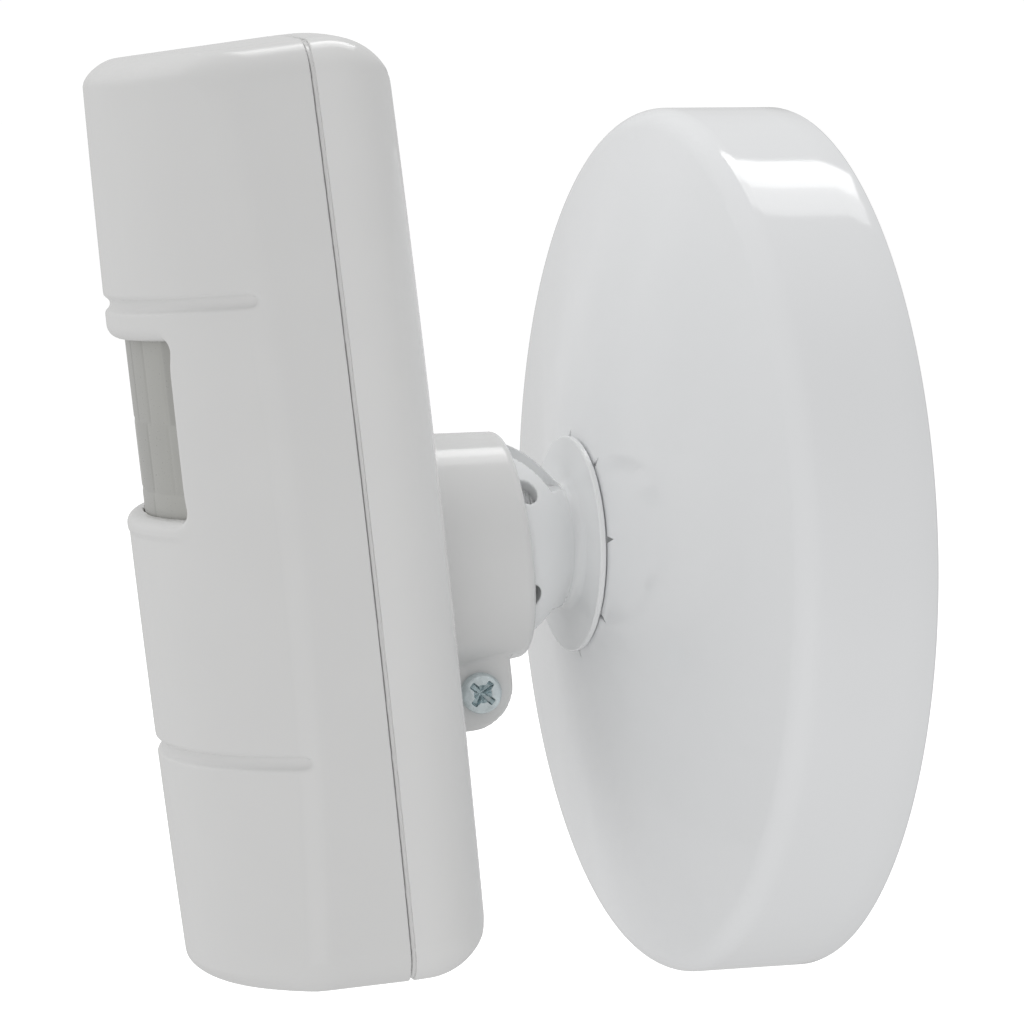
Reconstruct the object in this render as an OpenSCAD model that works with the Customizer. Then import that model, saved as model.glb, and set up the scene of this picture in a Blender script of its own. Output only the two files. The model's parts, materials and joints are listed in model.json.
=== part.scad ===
// Occupancy sensor on a ball-joint canopy bracket.
// Millimetres, +Z up, wall plane at y = 0, front towards -Y, origin at the middle of the canopy's back.

/* [Canopy] */
// Radius of the canopy
canopy_r = 57.5; // [56:0.5:62]
// Height of the canopy's straight rim from the wall
rim_h = 18.5; // [16:0.5:20]
// Height of the canopy's face at the hub
face_h = 28; // [27:0.1:28]
// Sheet thickness of the canopy
canopy_t = 1.6; // [1.2:0.1:2]
// Edge radius between rim and face
rim_edge_r = 3.4; // [2.5:0.1:4]
// Radius of the centre hole
hub_hole_r = 13.5; // [13.4:0.1:13.8]
// Number of notches round the centre hole
notch_count = 8; // [6:1:10]

/* [Hub and ball] */
// Radius of the hub's flange
flange_r = 14.3; // [14:0.1:15]
// Radius of the neck behind the ball
neck_r = 7.2; // [7:0.1:9]
// Radius of the ball
ball_r = 14.4; // [14:0.1:14.4]
// Distance of the ball's centre from the wall
ball_d = 42.6; // [42:0.1:44]
// Wall thickness of the hollow ball
ball_wall = 3; // [2.4:0.1:3.4]
// Width of the slots in the ball
slot_w = 3.2; // [2.6:0.1:3.6]

/* [Aim at rest] */
// Turn of the head about the vertical
pan = -6; // [-12:1:12]
// Tilt of the head, front down
tilt = 6; // [-12:1:12]

/* [Housing] */
// Width at mid height
body_w = 65; // [63:0.5:67]
// Height
body_h = 121.5; // [119:0.5:122.5]
// How far each side bows out over the height
side_bow = 3.5; // [2.5:0.5:4]
// How far the top and bottom bow out over the width
end_bow = 1; // [0.6:0.2:1.4]
// Depth of the rear shell behind the seam
rear_depth = 10.8; // [10.4:0.1:11.2]
// Depth of the front shell before the seam
front_depth = 25.8; // [25:0.1:26.5]
// Radius of the curved front
front_r = 40.4; // [39:0.1:42]
// Corner radius seen from the front
corner_r = 6; // [5:0.5:8]
// Edge radius of the rear shell
rear_edge_r = 8.5; // [7:0.5:9]
// Edge radius at the top of the front
top_edge_r = 4.5; // [3:0.5:5]
// Edge radius at the bottom of the front
bottom_edge_r = 5; // [4.5:0.5:8]
// Wall thickness of both shells
wall = 2.2; // [2:0.1:2.4]
// Gap of the seam between the shells
seam_gap = 0.6; // [0.5:0.1:0.8]

/* [Window] */
// Width of the lens opening
window_w = 37.2; // [36:0.2:40]
// Height of the lens opening
window_h = 23; // [22:0.5:24]
// Height of the opening's middle above the housing's middle
window_y = 12.6; // [12:0.2:15]
// Height of the front grooves above and below the housing's middle
groove_y = 29; // [28:0.5:30]
// How far the grooves' middle is below the housing's middle
groove_drop = 0.4; // [0:0.1:1]
// Depth of the front grooves
groove_d = 1.2; // [0.8:0.1:1.3]
// Thickness of the lens sheet
lens_t = 0.8; // [0.6:0.1:1]

/* [Clamp] */
// Outer radius of the ball cup
cup_r = 15.4; // [15.3:0.1:16]
// Thread radius of the clamp screw
screw_r = 1.5; // [1.25:0.25:1.5]
// Half width of the clamp lug
lug_half = 7; // [6.5:0.5:8]
// Radius of the lug's rounded end
lug_r = 5; // [4.5:0.1:5.2]

/* [Hidden] */
$fn = 96;
eps = 0.01;

// Running clearance of turning parts, and of the ball in its cup
fit = 0.05;
ball_fit = 0.1;

// Mounting strap: box screws of a 4 in octagon box
box_spacing = 88.9;
box_slot_w = 4.6;
box_slot_l = 12;
strap_l = 106;
strap_w = 19;
strap_t = 1.6;
nipple_r = 5.1;
nipple_bore_r = 3.4;
nipple_l = 33;
nut_across = 15.9;
nut_h = 3;

// Housing position: the cup's axis is below the housing's middle
seam_d = 18.35;
axis_drop = 8.85;
half_w = body_w / 2;
half_h = body_h / 2;
end_half_w = half_w - side_bow;
side_r = (half_h * half_h + side_bow * side_bow) / (2 * side_bow);
end_r = (end_half_w * end_half_w + end_bow * end_bow) / (2 * end_bow);
front_axis = front_depth - front_r;
half_gap = seam_gap / 2;
tongue_h = 1.8;
tongue_t = 0.9;

// Ball, seat and cup, measured from the ball's centre along the cup's axis
ball_front = 13;
ball_mouth_r = 6.2;
seat_t = 0.9;
seat_angle = 32;
pocket_r = ball_r + ball_fit;
seat_pocket_r = pocket_r + seat_t + ball_fit;
seat_pocket_z = seam_d - rear_depth - 0.5;
cup_dome_r = seat_pocket_r + 1.4;
lip_z = -6;
wire_hole_r = 4.5;

// Clamp screw, from the ball's centre
screw_y = -18.3;
screw_z = 2.1;
split_w = 1.6;
head_r = 2.75;
head_h = 2;
nut_side = 5.5;
clamp_nut_h = 2.4;

// Circuit board and what stands on it, in the housing's frame
board_w = 50;
board_h = 104;
board_t = 1.6;
board_z = 1.8;
board_top = board_z + board_t;
board_screw_x = 20;
board_screw_y = 46;
switch_pos = [-12, -16];
switch_pitch = 2.54;
switch_travel = 1.2;
delay_pos = [12, -10];
range_pos = [12, -22];
rotor_r = 2.4;
rotor_h = 1.2;
trimmer_h = 3.6;
pyro_z = board_top + 4;
terminal_pitch = 5;
terminal_pos = [-6.5, -43];
terminal_count = 4;
terminal_h = 9.5;
terminal_depth = 8;
terminal_screw_r = 1.8;
terminal_screw_z = 6;
relay_pos = [10.5, -40];
relay_size = [12.4, 15.4, 11];
main_cap_pos = [-13, 36];
small_cap_pos = [0, 38];
chip_part_pos = [9, 27];
chip_part_pitch = [3.4, 6];
chip_part_size = [1.3, 2.1, 0.6];

// Canopy face: a shallow cone from the rim's edge to the hub
face_slope = atan((face_h - rim_h) / (canopy_r - rim_edge_r - flange_r));
face_peak = rim_h - rim_edge_r + rim_edge_r / cos(face_slope) + (canopy_r - rim_edge_r) * tan(face_slope);
first_notch = 7;
notch_w = 1.6;
notch_tip_r = flange_r + 1.1;
ground_x = 22;
ground_r = 2.1;
nut_corner_r = nut_across / 2 / cos(30);

// Hub behind the ball
hub_back = face_h - canopy_t - 1.2;
spigot_r = hub_hole_r - 0.3;
flange_z = face_peak - hub_hole_r * tan(face_slope) + 0.15;
flare_r = 1.6;
slot_count = 6;
first_slot = 36;
short_slot = 4.2;
long_slot = 8;

// Housing outline: centres of the side, corner and end arcs, and the angles where they meet
side_c = [half_w - side_r, 0];
end_c = [0, half_h - end_r];
centre_gap = norm(end_c - side_c);
to_end = (end_c - side_c) / centre_gap;
along = ((side_r - corner_r) ^ 2 - (end_r - corner_r) ^ 2 + centre_gap ^ 2) / (2 * centre_gap);
across = sqrt((side_r - corner_r) ^ 2 - along ^ 2);
corner_c = side_c + along * to_end + across * [-to_end.y, to_end.x];
side_a = atan2(corner_c.y - side_c.y, corner_c.x - side_c.x);
end_a = atan2(corner_c.y - end_c.y, corner_c.x - end_c.x);
tongue_inset = 0.9;
lens_outer_r = front_r - wall - 0.1;
lip_edge = 1.2;
window_corner_r = 1.5;
split_end = 6.5;

// Small things on the board
board_screw_r = 1.25;
board_screw_l = 7;
pin_r = 0.25;
pin_end = 1.2;
pin_circle_r = 2.54;
pin_angles = [45, 135, 270];
pyro_h = 4;
pyro_can_r = 4.1;
pyro_flange_r = 4.6;
filter_size = [3.9, 3.1, 0.5];
led_x = 11;
led_r = 1.5;
led_h = 3.6;
chip_x = 0;
chip_y = -3;
chip_l = 15;
chip_w = 7.5;
chip_h = 2.2;
chip_legs = 11;
chip_leg_pitch = 1.27;
chip_leg = [0.4, 1.3, 0.9];
switch_w = 6.4;
switch_h = 3;
switch_floor = 1.6;
switch_slot = [1.5, 3];
slider_w = 1.3;
slider_h = 2;
trimmer_side = 7;
rotor_sink = 0.8;
rotor_slot_l = 3.2;
drive_w = 0.6;

// Turns a frame with z towards the room and y up into the row's frame
module facing_front() rotate([90, 0, 0]) children();

// The frame of the head: origin at the ball's centre, z along the cup's axis to the front
module at_ball() translate([0, -ball_d, 0]) rotate([tilt, 0, pan]) facing_front() children();

// The frame of the housing: origin at the middle of the seam plane
module at_housing() at_ball() translate([0, axis_drop, seam_d]) children();

// Points of an arc about a centre, from angle a to angle b, without its first point
function arc(c, r, a, b, n = 6) =
    [for (i = [1:n]) c + r * [cos(a + (b - a) * i / n), sin(a + (b - a) * i / n)]];

// Outline of a rectangle from low to high with its own radius at each corner, counter-clockwise
// from the low-x low-y corner
function rounded_outline(low, high, radii) = let (
    corners = [low, [high.x, low.y], high, [low.x, high.y]],
    inward = [[1, 1], [-1, 1], [-1, -1], [1, -1]]
) [for (k = [0:3]) each arc(corners[k] + radii[k] * inward[k], radii[k], 180 + 90 * k, 270 + 90 * k)];

module tube(r_out, r_in, h) difference() {
    cylinder(r = r_out, h = h);
    translate([0, 0, -eps]) cylinder(r = r_in, h = h + 2 * eps);
}

// A bar with round ends, centred
module rounded_bar(length, width, h) {
    for (side = [-1, 1]) translate([side * (length - width) / 2, 0, 0]) cylinder(r = width / 2, h = h);
    translate([(width - length) / 2, -width / 2, 0]) cube([length - width, width, h]);
}

// Pan head screw with its head's underside at z = 0 and a cross recess
module pan_head_screw(r, length, head, height) {
    translate([0, 0, -length]) cylinder(r = r, h = length);
    difference() {
        intersection() {
            cylinder(r = head, h = height);
            translate([0, 0, height - 2 * head]) sphere(r = 2 * head);
        }
        for (turn = [0, 90]) rotate([0, 0, turn])
            translate([-head * 0.6, -head * 0.15, height * 0.45]) cube([head * 1.2, head * 0.3, height]);
    }
}

// ---- canopy and what is behind it ----

// Section of the canopy's outside, inset by d: radius, then distance from the wall
function canopy_section(d) = concat(
    [[0, -d], [canopy_r - d, -d]],
    arc([canopy_r - rim_edge_r, rim_h - rim_edge_r], rim_edge_r - d, 0, 90 - face_slope, 6),
    [[0, face_peak - d / cos(face_slope)]]
);

module canopy() color("white") facing_front() difference() {
    rotate_extrude() polygon(canopy_section(0));
    rotate_extrude() polygon(canopy_section(canopy_t));
    translate([0, 0, rim_h]) cylinder(r = hub_hole_r, h = face_h);
    for (i = [0:notch_count - 1]) rotate([0, 0, first_notch + i * 360 / notch_count])
        translate([0, 0, rim_h]) linear_extrude(face_h) polygon([
            [hub_hole_r - 1, notch_w], [notch_tip_r, 0.15], [notch_tip_r, -0.15], [hub_hole_r - 1, -notch_w]
        ]);
}

module mounting_strap() color("silver") facing_front() difference() {
    rounded_bar(strap_l, strap_w, strap_t);
    for (side = [-1, 1]) translate([side * box_spacing / 2, 0, -eps])
        rounded_bar(box_slot_l, box_slot_w, strap_t + 2 * eps);
    translate([0, 0, -eps]) cylinder(r = nipple_r + fit, h = strap_t + 2 * eps);
    translate([ground_x, 0, -eps]) cylinder(r = ground_r + fit, h = strap_t + 2 * eps);
}

module threaded_nipple() color("goldenrod") facing_front() tube(nipple_r, nipple_bore_r, nipple_l);

module lock_nut() color("silver") facing_front() translate([0, 0, strap_t]) difference() {
    cylinder(r = nut_corner_r, h = nut_h, $fn = 6);
    translate([0, 0, -eps]) cylinder(r = nipple_r + fit, h = nut_h + 2 * eps);
}

module ground_screw() color("green") facing_front() translate([ground_x, 0, strap_t])
    pan_head_screw(ground_r, strap_t, 4, 2.4);

// ---- hub, ball and seat ----

// Section of the hub behind the ball: spigot, flange, flare and neck
function hub_section() = concat(
    [[0, hub_back], [spigot_r, hub_back], [spigot_r, flange_z], [flange_r, flange_z]],
    arc([flange_r - 0.6, flange_z + 0.6], 0.6, 0, 90, 4),
    [[neck_r + flare_r + 0.4, flange_z + 1.4]],
    arc([neck_r + flare_r, flange_z + 1.6 + flare_r], flare_r, 270, 180, 6),
    [[0, flange_z + 1.6 + flare_r]]
);

// One slot through the ball's wall, from the mouth to a rounded end this far behind the ball's centre
module ball_slot(reach) translate([0, 0, ball_d - reach]) {
    rotate([0, 90, 0]) cylinder(r = slot_w / 2, h = ball_r + 1);
    translate([0, -slot_w / 2, 0]) cube([ball_r + 1, slot_w, reach + ball_r]);
}

module hub_ball() color("white") facing_front() difference() {
    union() {
        rotate_extrude() polygon(hub_section());
        intersection() {
            translate([0, 0, ball_d]) sphere(r = ball_r);
            translate([0, 0, flange_z + 1]) cylinder(r = ball_r + 1, h = ball_d + ball_front - flange_z - 1);
        }
    }
    translate([0, 0, ball_d]) sphere(r = ball_r - ball_wall);
    translate([0, 0, hub_back - eps]) cylinder(r = nipple_r + fit, h = ball_d - hub_back);
    translate([0, 0, ball_d]) cylinder(r = ball_mouth_r, h = ball_r);
    for (i = [0:slot_count - 1]) rotate([0, 0, first_slot + i * 360 / slot_count])
        ball_slot(i % 3 == 1 ? long_slot : short_slot);
}

module ball_seat() color("gainsboro") at_ball() difference() {
    sphere(r = pocket_r + seat_t);
    sphere(r = pocket_r);
    translate([0, 0, -2 * ball_r]) cylinder(r = 2 * ball_r, h = 2 * ball_r + pocket_r * cos(seat_angle));
    cylinder(r = wire_hole_r, h = 2 * ball_r);
}

// ---- housing ----

// A quarter of the housing's outline seen from the front, inset by d: bowed side, corner, crowned top
function quarter_outline(d) = concat(
    [[half_w - d, 0]],
    arc(side_c, side_r - d, 0, side_a, 4),
    arc(corner_c, corner_r - d, side_a, end_a, 6),
    arc(end_c, end_r - d, end_a, 90, 3)
);
function whole_outline(q) = let (n = len(q)) concat(
    q,
    [for (i = [n - 2:-1:0]) [-q[i].x, q[i].y]],
    [for (i = [1:n - 1]) -q[i]],
    [for (i = [n - 2:-1:1]) [q[i].x, -q[i].y]]
);

// The bowed outline, inset by d, from z to z + h
module outline_block(d, z, h) translate([0, 0, z])
    linear_extrude(h) polygon(whole_outline(quarter_outline(d)));

// The whole housing inset by d: what its front, side and plan outlines have in common
module housing_block(d) intersection() {
    outline_block(d, -rear_depth - 1, rear_depth + front_depth + 2);
    rotate([0, -90, 0]) linear_extrude(body_w + 2, center = true) polygon(rounded_outline(
        [d - rear_depth, d - half_h], [front_depth - d, half_h - d],
        [rear_edge_r, bottom_edge_r, top_edge_r, rear_edge_r] - [d, d, d, d]
    ));
    rotate([90, 0, 0]) linear_extrude(body_h + 2, center = true) intersection() {
        polygon(rounded_outline(
            [d - half_w, d - rear_depth], [half_w - d, front_depth],
            [rear_edge_r - d, rear_edge_r - d, 1, 1]
        ));
        translate([0, front_axis]) circle(r = front_r - d);
    }
}

module above(z) translate([-body_w, -body_h, z]) cube([2 * body_w, 2 * body_h, 2 * front_depth]);
module below(z) translate([-body_w, -body_h, z - 2 * front_depth])
    cube([2 * body_w, 2 * body_h, 2 * front_depth]);

// Places children at the four screw positions of the board
module at_board_screws() for (x = [-1, 1], y = [-1, 1])
    translate([x * board_screw_x, y * board_screw_y, 0]) children();

// The lug's outside, in the ball's frame: two ears round the clamp screw
module lug_block() {
    translate([-lug_half, screw_y, screw_z]) rotate([0, 90, 0]) cylinder(r = lug_r, h = 2 * lug_half);
    translate([-lug_half, screw_y - lug_r, screw_z])
        cube([2 * lug_half, lug_r + 6, seam_d - rear_depth - screw_z + wall / 2]);
    translate([-lug_half, screw_y, screw_z - lug_r])
        cube([2 * lug_half, 6, seam_d - rear_depth - screw_z + lug_r + wall / 2]);
}

// The cup, its dome inside the shell and the lug, in the ball's frame
module cup_block() {
    translate([0, 0, lip_z + lip_edge]) cylinder(r = cup_r, h = seam_d - rear_depth - lip_z);
    translate([0, 0, lip_z]) cylinder(r1 = cup_r - lip_edge, r2 = cup_r, h = lip_edge);
    intersection() {
        sphere(r = cup_dome_r);
        translate([0, 0, seam_d - rear_depth + eps]) cylinder(r = cup_dome_r, h = cup_dome_r);
    }
    lug_block();
}

// A hole across the lug for the clamp screw, in the ball's frame
module screw_hole(r) translate([-2 * lug_half, screw_y, screw_z])
    rotate([0, 90, 0]) cylinder(r = r, h = 4 * lug_half);

// Everything cut out of the cup and the lug, in the ball's frame
module cup_cuts() {
    sphere(r = pocket_r);
    intersection() {
        sphere(r = seat_pocket_r);
        translate([0, 0, seat_pocket_z]) cylinder(r = seat_pocket_r, h = seat_pocket_r);
    }
    cylinder(r = wire_hole_r, h = 2 * ball_r);
    translate([-split_w / 2, screw_y - 2 * lug_r, -3 * lug_r])
        cube([split_w, 3 * lug_r, 3 * lug_r + split_end]);
    screw_hole(screw_r + 0.1);
    translate([-lug_half - eps, screw_y - nut_side / 2 - fit, screw_z - nut_side / 2 - fit])
        cube([clamp_nut_h + 0.2, nut_side + 2 * fit, nut_side + 2 * fit]);
}

module rear_housing() color("white") at_housing() difference() {
    union() {
        difference() {
            intersection() {
                housing_block(0);
                below(-half_gap);
            }
            intersection() {
                housing_block(wall);
                below(half_gap);
            }
        }
        difference() {
            outline_block(tongue_inset, -half_gap - 1, 1 + half_gap + tongue_h);
            outline_block(tongue_inset + tongue_t, -half_gap - 2, 3 + half_gap + tongue_h);
        }
        translate([0, -axis_drop, -seam_d]) cup_block();
        at_board_screws() translate([0, 0, -rear_depth + wall / 2])
            cylinder(r = 3, h = rear_depth - wall / 2 + board_z);
    }
    translate([0, -axis_drop, -seam_d]) cup_cuts();
    at_board_screws() translate([0, 0, board_z - board_screw_l])
        cylinder(r = board_screw_r + fit, h = board_screw_l + 1);
}

module clamp_nut() color("silver") at_ball() difference() {
    translate([-lug_half, screw_y - nut_side / 2, screw_z - nut_side / 2])
        cube([clamp_nut_h, nut_side, nut_side]);
    screw_hole(screw_r + fit);
}

module clamp_screw() color("lightsteelblue") at_ball()
    translate([lug_half + fit, screw_y, screw_z]) rotate([0, 90, 0])
        pan_head_screw(screw_r, 2 * lug_half - 0.4, head_r, head_h);

// ---- circuit board and its parts ----

module circuit_board() color("darkgreen") at_housing() difference() {
    translate([-board_w / 2, -board_h / 2, board_z]) cube([board_w, board_h, board_t]);
    at_board_screws() cylinder(r = board_screw_r + 0.2, h = 3 * board_z);
    at_pins() cylinder(r = pin_r + fit, h = 3 * board_z);
}

// Places children on the detector's pins
module at_pins() for (turn = pin_angles)
    translate([0, window_y, 0]) rotate([0, 0, turn]) translate([pin_circle_r, 0, 0]) children();

module board_screws() color("silver") at_housing() at_board_screws() translate([0, 0, board_top])
    pan_head_screw(board_screw_r, board_screw_l - 1, 2.6, 1.8);

module pyro_holder() color("ivory") at_housing() translate([0, window_y, board_top])
    tube(pyro_flange_r + 1.2, pin_circle_r + 0.9, pyro_z - board_top);

module pyro_sensor() color("silver") at_housing() {
    translate([0, window_y, pyro_z]) difference() {
        union() {
            cylinder(r = pyro_flange_r, h = 0.6);
            cylinder(r = pyro_can_r, h = pyro_h);
        }
        translate([-filter_size.x / 2 - fit, -filter_size.y / 2 - fit, pyro_h - filter_size.z - 0.1])
            cube(filter_size + [2 * fit, 2 * fit, 1]);
    }
    at_pins() translate([0, 0, board_z - pin_end]) cylinder(r = pin_r, h = pyro_z - board_z + pin_end + eps);
}

module pyro_window() color("dimgray") at_housing()
    translate([-filter_size.x / 2, window_y - filter_size.y / 2, pyro_z + pyro_h - filter_size.z - 0.1])
        cube(filter_size);

module indicator_led() color("red") at_housing() translate([led_x, window_y, board_top]) {
    cylinder(r = led_r + 0.4, h = 0.8);
    cylinder(r = led_r, h = led_h);
    translate([0, 0, led_h]) sphere(r = led_r);
}

module relay() color("dimgray") at_housing()
    translate([relay_pos.x, relay_pos.y, board_top + relay_size.z / 2]) cube(relay_size, center = true);

module capacitor(pos, r, h) translate([pos.x, pos.y, board_top]) difference() {
    cylinder(r = r, h = h);
    translate([0, 0, h - 0.3]) tube(r + 1, r - 0.5, 1);
}
module main_capacitor() color("navy") at_housing() capacitor(main_cap_pos, r = 5, h = 11.5);
module small_capacitor() color("navy") at_housing() capacitor(small_cap_pos, r = 3.2, h = 8);

module control_chip() color("black") at_housing() translate([chip_x, chip_y, board_top]) {
    translate([-chip_l / 2, -chip_w / 2, 0.2]) cube([chip_l, chip_w, chip_h]);
    for (i = [0:chip_legs - 1], side = [-1, 1]) translate([
        (i - (chip_legs - 1) / 2) * chip_leg_pitch - chip_leg.x / 2,
        side * (chip_w / 2 + chip_leg.y / 2 - 0.05) - chip_leg.y / 2,
        0
    ]) cube(chip_leg);
}

// Two rows of five resistors and capacitors
module chip_parts() color("tan") at_housing() for (i = [0:4], row = [0:1])
    translate([chip_part_pos.x + i * chip_part_pitch.x, chip_part_pos.y + row * chip_part_pitch.y, board_top])
        translate([-chip_part_size.x / 2, -chip_part_size.y / 2, 0]) cube(chip_part_size);

module terminal_block() color("seagreen") at_housing()
    translate([terminal_pos.x, terminal_pos.y, board_top]) difference() {
        translate([-terminal_count * terminal_pitch / 2, -terminal_depth / 2, 0])
            cube([terminal_count * terminal_pitch, terminal_depth, terminal_h]);
        at_terminals() {
            translate([0, 0, terminal_screw_z]) cylinder(r = terminal_screw_r + 0.2, h = terminal_h);
            translate([-1.7, -terminal_depth / 2 - 1, 1]) cube([3.4, terminal_depth / 2 + 2, 3.6]);
        }
    }
module at_terminals() for (i = [0:terminal_count - 1])
    translate([(i - (terminal_count - 1) / 2) * terminal_pitch, 0, 0]) children();

module terminal_screws() color("silver") at_housing()
    translate([terminal_pos.x, terminal_pos.y, board_top + terminal_screw_z]) at_terminals() difference() {
        cylinder(r = terminal_screw_r, h = 2);
        translate([-terminal_screw_r - 1, -drive_w / 2, 1.2]) cube([2 * terminal_screw_r + 2, drive_w, 1]);
    }

module at_switches() for (i = [0:3]) translate([(i - 1.5) * switch_pitch, 0, 0]) children();

module dip_switch() color("firebrick") at_housing()
    translate([switch_pos.x, switch_pos.y, board_top]) difference() {
        translate([-2 * switch_pitch - 0.5, -switch_w / 2, 0])
            cube([4 * switch_pitch + 1, switch_w, switch_h]);
        at_switches() translate([-switch_slot.x / 2, -switch_slot.y / 2 - fit, switch_floor])
            cube([switch_slot.x, switch_slot.y + 2 * fit, switch_h]);
    }

module dip_slider(i) color("white") at_housing()
    translate([switch_pos.x + (i - 2.5) * switch_pitch, switch_pos.y, board_top + switch_floor + fit])
        translate([-slider_w / 2, -switch_slot.y / 2, 0])
            cube([slider_w, switch_slot.y - switch_travel, slider_h]);
module dip_slider_1() dip_slider(1);
module dip_slider_2() dip_slider(2);
module dip_slider_3() dip_slider(3);
module dip_slider_4() dip_slider(4);

module trimmer_bases() color("royalblue") at_housing() for (pos = [delay_pos, range_pos])
    translate([pos.x, pos.y, board_top]) difference() {
        translate([-trimmer_side / 2, -trimmer_side / 2, 0]) cube([trimmer_side, trimmer_side, trimmer_h]);
        translate([0, 0, trimmer_h - rotor_sink]) cylinder(r = rotor_r + fit, h = 2 * rotor_sink);
    }

module rotor(pos) color("white") at_housing()
    translate([pos.x, pos.y, board_top + trimmer_h - rotor_sink + fit]) difference() {
        cylinder(r = rotor_r, h = rotor_h);
        for (turn = [0, 90]) rotate([0, 0, turn])
            translate([-rotor_slot_l / 2, -drive_w / 2, rotor_h - drive_w]) cube([rotor_slot_l, drive_w, 1]);
    }
module delay_rotor() rotor(delay_pos);
module range_rotor() rotor(range_pos);

// ---- front cover and lens ----

// The opening's outline, w wide and h high
module window_outline(w, h) polygon(rounded_outline(
    [-w / 2, -h / 2], [w / 2, h / 2], [for (k = [0:3]) window_corner_r]
));

// A part of a ring about the curved front's axis, seen through an opening w wide and h high
module curved_sheet(r_out, r_in, w, h) intersection() {
    translate([0, 0, front_axis]) rotate([90, 0, 0]) difference() {
        cylinder(r = r_out, h = h, center = true);
        cylinder(r = r_in, h = h + 1, center = true);
    }
    linear_extrude(front_depth + 1) window_outline(w, h);
}

module front_groove() translate([0, 0, front_axis]) rotate([90, 0, 0]) rotate_extrude() polygon([
    [front_r - groove_d, 0], [front_r + 0.2, -groove_d - 0.2], [front_r + 0.2, groove_d + 0.2]
]);

module front_cover() color("white") at_housing() difference() {
    intersection() {
        housing_block(0);
        above(half_gap);
    }
    intersection() {
        housing_block(wall);
        above(-half_gap);
    }
    outline_block(tongue_inset - 0.2, -half_gap, 2 * half_gap + tongue_h + 0.2);
    translate([0, window_y, 0]) linear_extrude(2 * front_depth) window_outline(window_w, window_h);
    for (side = [-1, 1]) translate([0, side * groove_y - groove_drop, 0]) front_groove();
}

module fresnel_lens() color("lightgray") at_housing() translate([0, window_y, 0])
    curved_sheet(lens_outer_r, lens_outer_r - lens_t, window_w + 5, window_h + 5);

module lens_retainer() color("white") at_housing() translate([0, window_y, 0]) difference() {
    curved_sheet(lens_outer_r - lens_t - 0.1, lens_outer_r - lens_t - 1.4, window_w + 9, window_h + 6);
    linear_extrude(2 * front_depth) window_outline(window_w + 1, window_h + 1);
}

canopy();
mounting_strap();
threaded_nipple();
lock_nut();
ground_screw();
hub_ball();
ball_seat();
rear_housing();
clamp_nut();
clamp_screw();
circuit_board();
board_screws();
pyro_holder();
pyro_sensor();
pyro_window();
indicator_led();
relay();
main_capacitor();
small_capacitor();
control_chip();
chip_parts();
terminal_block();
terminal_screws();
dip_switch();
dip_slider_1();
dip_slider_2();
dip_slider_3();
dip_slider_4();
trimmer_bases();
delay_rotor();
range_rotor();
front_cover();
fresnel_lens();
lens_retainer();
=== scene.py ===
"""Looks of a wall or ceiling motion sensor on a ball-joint canopy bracket.

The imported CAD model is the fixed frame. The mouldings are built here as rounded solids: each is a
distance field, negative inside, that a surface net turns into a closed quad mesh. Fields work in
millimetres, in one of two frames with z towards the room and y up: the wall's, with its origin on
the wall plane, and the head's, with its origin in the middle of the seam between the two shells.
The clamp screw has a frame of its own, with x along the screw.
"""
import json
import math

import bpy
import numpy as np
from mathutils import Matrix, Vector


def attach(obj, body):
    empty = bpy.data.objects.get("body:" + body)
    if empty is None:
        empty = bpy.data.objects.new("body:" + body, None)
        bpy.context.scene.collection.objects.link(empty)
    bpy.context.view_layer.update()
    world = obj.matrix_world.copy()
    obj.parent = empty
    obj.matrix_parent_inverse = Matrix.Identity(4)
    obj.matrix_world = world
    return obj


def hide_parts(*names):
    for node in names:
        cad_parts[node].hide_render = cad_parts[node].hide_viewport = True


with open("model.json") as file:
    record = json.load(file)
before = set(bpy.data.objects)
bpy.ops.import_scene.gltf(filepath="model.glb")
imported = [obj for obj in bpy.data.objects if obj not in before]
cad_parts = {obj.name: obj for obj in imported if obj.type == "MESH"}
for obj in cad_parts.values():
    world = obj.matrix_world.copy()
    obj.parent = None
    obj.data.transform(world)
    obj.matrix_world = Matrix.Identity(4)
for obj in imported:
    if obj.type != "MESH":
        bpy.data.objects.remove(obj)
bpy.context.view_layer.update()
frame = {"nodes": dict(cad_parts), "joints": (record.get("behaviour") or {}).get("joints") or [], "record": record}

MM = 0.001
MICRON = 0.000001

# ---- sizes in millimetres ----

# canopy: a sheet with a cylindrical rim, a rounded edge and a shallow cone face
CANOPY_R = 57.5
RIM_H = 18.5
FACE_H = 28.0
SHEET = 1.6
RIM_EDGE_R = 3.4
RIM_FOOT = 0.4  # bevel round the rim's foot
HUB_HOLE_R = 13.5
HOLE_EDGE = 0.25
NOTCHES = 8
FIRST_NOTCH = 7.0  # degrees
NOTCH_TIP = 15.2  # from the canopy's axis
NOTCH_HALF = 0.45
FACE_OUT_R, FACE_IN_R = 53.0, 17.5  # the outermost and innermost round rings of the face
CANOPY_STEPS = 240

# hub: flange, spigot, flared neck and hollow ball
FLANGE_R = 14.3
FLANGE_T = 0.8
FLANGE_EDGE = 0.25
FLANGE_DISH = 0.15  # how much thicker the flange is at the neck
FLANGE_GAP = 0.15  # between the flange and the canopy
SPIGOT_FIT = 0.3
SPIGOT_PAST = 1.2  # how far the spigot goes past the canopy's sheet
SPIGOT_EDGE = 0.3
SPIGOT_IN_FLANGE = 0.5
NECK_R = 7.2
FLARE_R = 1.9
NECK_FILLET = 0.8
BALL_R = 14.4
BALL_WALL = 3.0
BALL_FRONT = 13.0  # where the ball is cut off, from its centre
BALL_FRONT_EDGE = 0.4
BALL_MOUTH = 6.2
THREAD_PITCH = 0.8
THREAD_DEPTH = 0.3

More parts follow.
